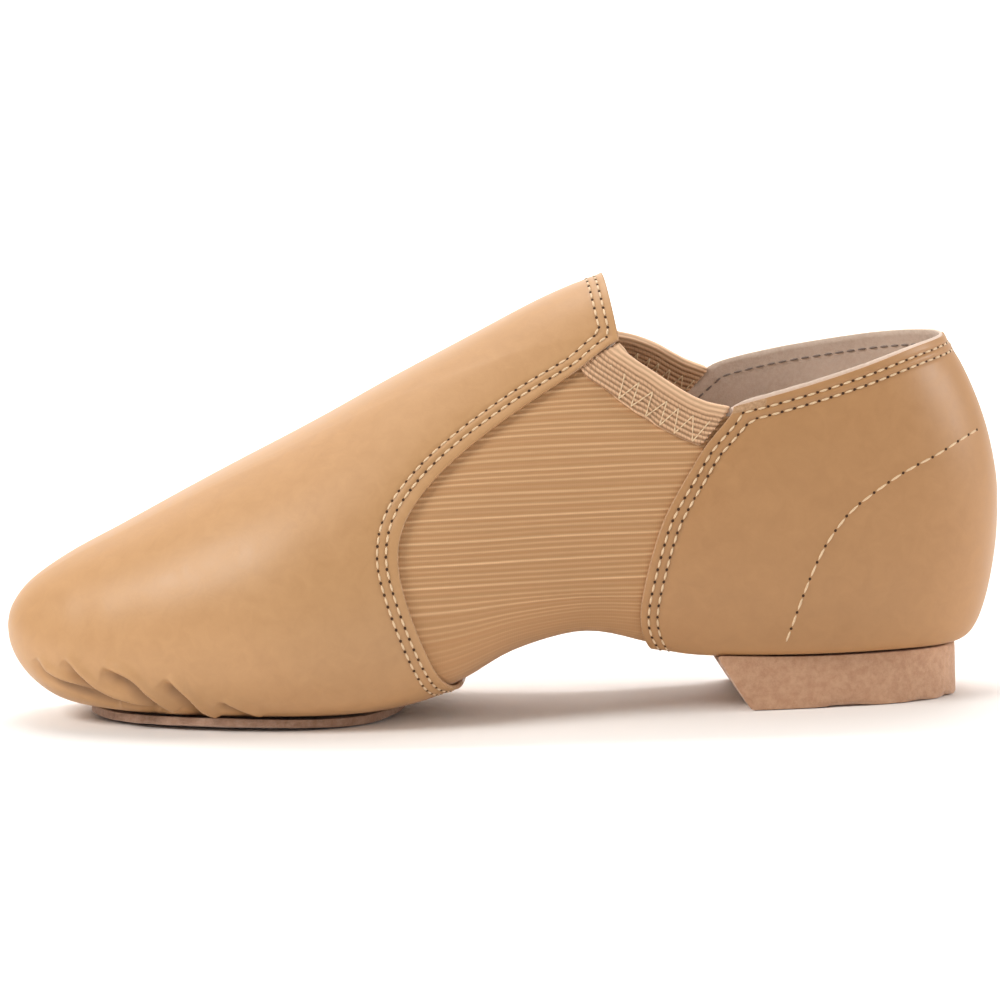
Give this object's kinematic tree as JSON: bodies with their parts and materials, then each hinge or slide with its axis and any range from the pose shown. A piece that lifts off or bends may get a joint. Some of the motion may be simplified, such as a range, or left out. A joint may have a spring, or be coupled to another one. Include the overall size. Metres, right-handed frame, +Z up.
{
  "type": "jazz shoe",
  "caption": "Slip-on split-sole jazz shoe for the left foot, tan leather with a ribbed elastic arch, braided throat bands and a low suede heel",
  "frame": {"origin": "on the floor, under the middle of the shoe's own box", "axes": "+X from toe to heel, +Y towards the inner side of the left foot, +Z up"},
  "size_m": [0.245, 0.0796, 0.1058],
  "materials": {
    "leather": "satin",
    "ribbed_elastic": "matte",
    "braided_elastic": "matte",
    "sock": "matte",
    "sole_suede": "matte",
    "heel_suede": "matte"
  },
  "bodies": {
    "root": {"upper": "ribbed_elastic", "vamp": "leather", "quarter": "leather", "collar_band_outer": "braided_elastic", "collar_band_inner": "braided_elastic", "insole": "sock", "forefoot_sole": "sole_suede", "heel": "heel_suede"}
  },
  "joints": []
}
